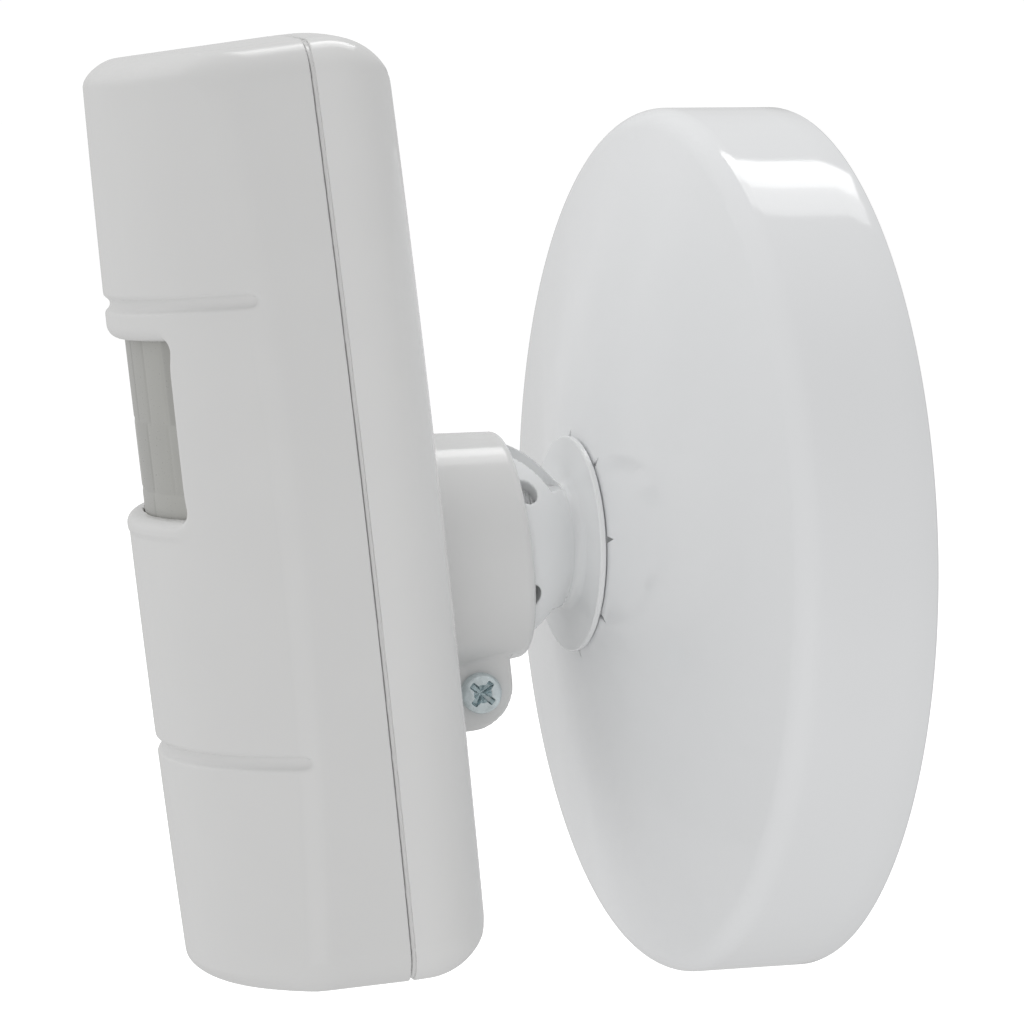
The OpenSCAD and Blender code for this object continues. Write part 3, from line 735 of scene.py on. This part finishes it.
def lens_finish():
    """Milky polyethylene, with painted shade that makes each field of the lens a little lighter or darker than the
    next, standing in for how each field catches the light.
    """
    material = finish("lens_sheet", (0.47, 0.47, 0.445), 0.3, contrast=0.06)
    nodes, links = material.node_tree.nodes, material.node_tree.links
    shader = nodes["Principled BSDF"]
    base = shader.inputs["Base Color"].links[0].from_socket
    # painted shade: the field's tone darkens the lens colour by up to 16 percent
    tone = nodes.new("ShaderNodeAttribute")
    tone.attribute_name = "painted_field_shade"
    mix = nodes.new("ShaderNodeMix")
    mix.data_type = "RGBA"
    mix.blend_type = "MULTIPLY"
    mix.inputs["Factor"].default_value = 1
    shade = nodes.new("ShaderNodeMapRange")
    shade.inputs["To Min"].default_value = 0.84
    links.new(tone.outputs["Fac"], shade.inputs["Value"])
    links.new(base, mix.inputs[6])
    links.new(shade.outputs["Result"], mix.inputs[7])
    links.new(mix.outputs[2], shader.inputs["Base Color"])
    return material


# Partly painted light: the cover's white is set darker to tone down its lit front, and the rear shell's, the hub's
# and the canopy's whites brighter to lift the shade on the lug and cup, on the occluded hub and flange and on the
# canopy's face; the canopy's paint is also whiter than the plastic.
white_cover = finish("white_housing", (0.77, 0.77, 0.765), 0.22, grain=1600, contrast=0.015,
                     bump=0.6 * MICRON)
white_rear = finish("white_rear_shell", (0.82, 0.82, 0.815), 0.14, grain=1600, contrast=0.015,
                    bump=0.4 * MICRON)
white_hub = finish("white_hub", (0.93, 0.94, 0.945), 0.13, grain=1800, contrast=0.02)
white_canopy = finish("white_canopy", (0.91, 0.92, 0.93), 0.09, grain=900, mottle=40, contrast=0.015)
zinc = finish("zinc_steel", (0.80, 0.88, 0.90), 0.2, grain=5000, mottle=900, contrast=0.2, metallic=1.0)
brass = finish("brass_pipe", (0.66, 0.47, 0.18), 0.28, mottle=400, contrast=0.2, metallic=1.0)
lens_sheet = lens_finish()

PLAIN_FINISHES = {
    "strap_steel": dict(colour=(0.60, 0.59, 0.56), roughness=0.32, mottle=260, contrast=0.2, metallic=1.0),
    "ground_green": dict(colour=(0.02, 0.22, 0.06), roughness=0.3, mottle=600, contrast=0.2),
    "nylon": dict(colour=(0.74, 0.73, 0.68), roughness=0.42, contrast=0.05),
    "board_green": dict(colour=(0.01, 0.11, 0.045), roughness=0.32, mottle=500, contrast=0.35),
    "can_steel": dict(colour=(0.66, 0.63, 0.56), roughness=0.2, mottle=700, contrast=0.12, metallic=1.0),
    "filter_dark": dict(colour=(0.02, 0.016, 0.022), roughness=0.08, contrast=0.2),
    "led_red": dict(colour=(0.5, 0.02, 0.015), roughness=0.1, contrast=0.1, Transmission_Weight=0.4),
    "case_black": dict(colour=(0.018, 0.018, 0.019), roughness=0.45, mottle=800, contrast=0.2,
                       bump=10 * MICRON),
    "sleeve_navy": dict(colour=(0.012, 0.02, 0.09), roughness=0.25, contrast=0.15),
    "chip_tan": dict(colour=(0.36, 0.24, 0.12), roughness=0.4, mottle=1500, contrast=0.4),
    "terminal_green": dict(colour=(0.03, 0.28, 0.09), roughness=0.35, contrast=0.08),
    "switch_red": dict(colour=(0.5, 0.02, 0.02), roughness=0.35, contrast=0.08),
    "switch_white": dict(colour=(0.75, 0.75, 0.73), roughness=0.35, contrast=0.05),
    "trimmer_blue": dict(colour=(0.015, 0.08, 0.42), roughness=0.35, contrast=0.1),
}

finishes = {name: finish(name, **looks) for name, looks in PLAIN_FINISHES.items()}
finishes["zinc_steel"] = zinc

replaced = {
    "canopy", "hub_ball", "rear_housing", "front_cover", "fresnel_lens", "clamp_screw", "threaded_nipple",
}
slot_of = {part["node"]: part["material_slot"] for part in frame["record"]["subparts"]}
for name, node in frame["nodes"].items():
    if name not in replaced:
        for holder in node.material_slots:
            holder.material = finishes[slot_of[name]]

# ---- the pieces ----


def near_both_ends(edge, reach, step):
    """Closer grid lines from each end of a span, -edge to edge, to this far inside it."""
    return [(-edge, -edge + reach, step), (edge - reach, edge + 1, step)]


# each (low, high, step) puts closer grid lines where the shape is fine
edge_w, edge_h = HALF_W + 1, HALF_H + 1
near_side = [(s * WINDOW_W / 2 - 1.6, s * WINDOW_W / 2 + 1.6, 0.4) for s in (-1, 1)]
near_rims = [(WINDOW_BOTTOM - 3, WINDOW_BOTTOM + 1.5, 0.35), (WINDOW_TOP - 1, WINDOW_TOP + 2.8, 0.4)]
near_grooves = [(s * GROOVE_Y - 2.4, s * GROOVE_Y + 2.0, 0.3) for s in (-1, 1)]
near_ends = near_both_ends(edge_h, 9, 0.55) + near_both_ends(edge_h, 3.5, 0.33)
near_creases = near_both_ends(edge_w, 11, 0.5) + near_both_ends(edge_w, 5, 0.33)

cover_axes = [
    spaced(-edge_w, edge_w, 1.0, *near_side, *near_creases),
    spaced(-edge_h, edge_h, 1.1, *near_rims, *near_grooves, *near_ends),
    spaced(-1.0, FRONT_DEPTH + 1, 0.6, (0, 0.8, 0.15), (1.8, 2.6, 0.25)),
]
solid_piece("front_cover_shell", front_cover, cover_axes, "cover", "front_cover",
            white_cover, HEAD_FRAME)

cup_low, cup_high = -AXIS_DROP + SCREW_Y - LUG_R - 1, -AXIS_DROP + CUP_R + 1.5
near_lip = (CUP_LIP - SEAM_D - 0.3, CUP_LIP - SEAM_D + 1.5, 0.15)
rear_axes = [
    spaced(-edge_w, edge_w, 1.0, (-CUP_R - 1, CUP_R + 1, 0.45), *near_creases),
    spaced(-edge_h, edge_h, 1.1, (cup_low, cup_high, 0.45), *near_ends),
    spaced(CUP_LIP - SEAM_D - 0.6, TONGUE_TOP + 0.6, 0.4, (-1.2, 0.4, 0.12), near_lip),
]
solid_piece("rear_housing_shell", rear_housing, rear_axes, "head", "rear_housing",
            white_rear, HEAD_FRAME)

hub_span = spaced(-BALL_R - 0.8, BALL_R + 0.8, 0.33)
near_flange = (FLANGE_Z - 0.3, FLANGE_Z + FLANGE_T + 0.4, 0.1)
hub_axes = [hub_span, hub_span, spaced(HUB_BACK - 0.5, ball_z + BALL_FRONT + 0.8, 0.18, near_flange)]
solid_piece("hub_and_ball", hub_ball, hub_axes, "hub", "hub_ball", white_hub)

screw_seat = ball_centre + MM * ((LUG_HALF + HEAD_LIFT) * head_x + SCREW_Y * head_up + SCREW_Z * head_front)
SCREW_FRAME = frame_matrix(head_x, head_up, head_front, screw_seat)
screw_span = spaced(-SCREW_HEAD_R - 0.2, SCREW_HEAD_R + 0.2, 0.08)
near_head = (-0.2, SCREW_HEAD_H + 0.2, 0.08)
screw_axes = [spaced(-SCREW_L - 0.3, SCREW_HEAD_H + 0.2, 0.12, near_head), screw_span, screw_span]
solid_piece("clamp_screw_pan_head", clamp_screw, screw_axes, "clamp_screw", "clamp_screw",
            zinc, SCREW_FRAME)

points, quads = joined_loops(canopy_points())
mesh_piece("canopy_sheet", points, quads, "base", ["canopy"], white_canopy)
points, quads = joined_loops(nipple_points())
mesh_piece("threaded_pipe", points, quads, "base", ["threaded_nipple"], brass)
lens_piece(lens_sheet)

# ---- camera, floor and light ----

AZIMUTH = math.radians(72.44)
ELEVATION = math.radians(5.1)
ROLL = math.radians(-0.39)
AIM = Vector((0.0048, -0.0383, 0.0049))  # the point in the middle of the picture
DISTANCE = 0.6
LENS_MM, SENSOR_MM = 161.04, 36
FLOOR_Z = -0.16
FLOOR_HALF = 60

level = Vector((math.cos(AZIMUTH), math.sin(AZIMUTH), 0))
toward = Vector((math.sin(AZIMUTH), -math.cos(AZIMUTH), 0))
back = math.cos(ELEVATION) * toward + Vector((0, 0, math.sin(ELEVATION)))
right = math.cos(ROLL) * level + math.sin(ROLL) * back.cross(level)
turn = Matrix((right, back.cross(right), back)).transposed().to_4x4()
camera = bpy.data.objects.new("camera", bpy.data.cameras.new("camera"))
camera.data.lens = LENS_MM
camera.data.sensor_width = SENSOR_MM
camera.matrix_world = Matrix.Translation(AIM + DISTANCE * back) @ turn
bpy.context.scene.collection.objects.link(camera)
bpy.context.scene.camera = camera

floor_mesh = bpy.data.meshes.new("floor")
corners = [(x * FLOOR_HALF, y * FLOOR_HALF, FLOOR_Z) for x, y in ((-1, -1), (1, -1), (1, 1), (-1, 1))]
floor_mesh.from_pydata(corners, [], [(0, 1, 2, 3)])
floor = bpy.data.objects.new("floor", floor_mesh)
floor_mesh.materials.append(finish("pale_floor", (0.8, 0.8, 0.8), 0.6, grain=300, mottle=3, contrast=0.01,
                                   Emission_Color=(1, 1, 1, 1), Emission_Strength=0.55))
floor.visible_diffuse = False
floor.visible_glossy = False
floor.visible_shadow = False
bpy.context.scene.collection.objects.link(floor)


def soft_box(name, at, size, power, aim=AIM, glossy=False):
    """A rectangular light, its width level, mirrored in the object's gloss or not."""
    light = bpy.data.objects.new(name, bpy.data.lights.new(name, "AREA"))
    light.data.shape = "RECTANGLE"
    light.data.size, light.data.size_y = size
    light.data.energy = power
    light.visible_glossy = glossy
    light.location = at
    light.rotation_euler = (Vector(aim) - Vector(at)).to_track_quat("-Z", "Y").to_euler()
    bpy.context.scene.collection.objects.link(light)


soft_box("main_top_light", (-0.74, 0.45, 1.62), (1.1, 0.4), 5, aim=(0, 0.45, 0), glossy=True)
soft_box("dim_top_light", (-0.37, 0.45, 1.68), (1.1, 0.34), 2.1, aim=(0, 0.45, 0), glossy=True)
soft_box("top_fill", (-0.5, -0.4, 1.6), (1.0, 1.0), 4)
soft_box("left_fill", (-1.3, -1.0, 0.7), (1.2, 1.2), 8)
soft_box("low_fill", (1.2, -1.1, -0.7), (1.4, 1.0), 6)
soft_box("right_fill", (1.5, 1.4, 0.7), (1.2, 1.2), 2)

world = bpy.data.worlds.new("studio")
world.use_nodes = True
bpy.context.scene.world = world
nodes, links = world.node_tree.nodes, world.node_tree.links
surround = nodes["Background"]
surround.inputs["Color"].default_value = (1, 1, 1, 1)
surround.inputs["Strength"].default_value = 0.57
backdrop = nodes.new("ShaderNodeBackground")
backdrop.inputs["Color"].default_value = (1, 1, 1, 1)
backdrop.inputs["Strength"].default_value = 1.02
path, choose = nodes.new("ShaderNodeLightPath"), nodes.new("ShaderNodeMixShader")
links.new(path.outputs["Is Camera Ray"], choose.inputs["Fac"])
links.new(surround.outputs["Background"], choose.inputs[1])
links.new(backdrop.outputs["Background"], choose.inputs[2])
links.new(choose.outputs["Shader"], nodes["World Output"].inputs["Surface"])
bpy.context.scene.view_settings.view_transform = "Standard"
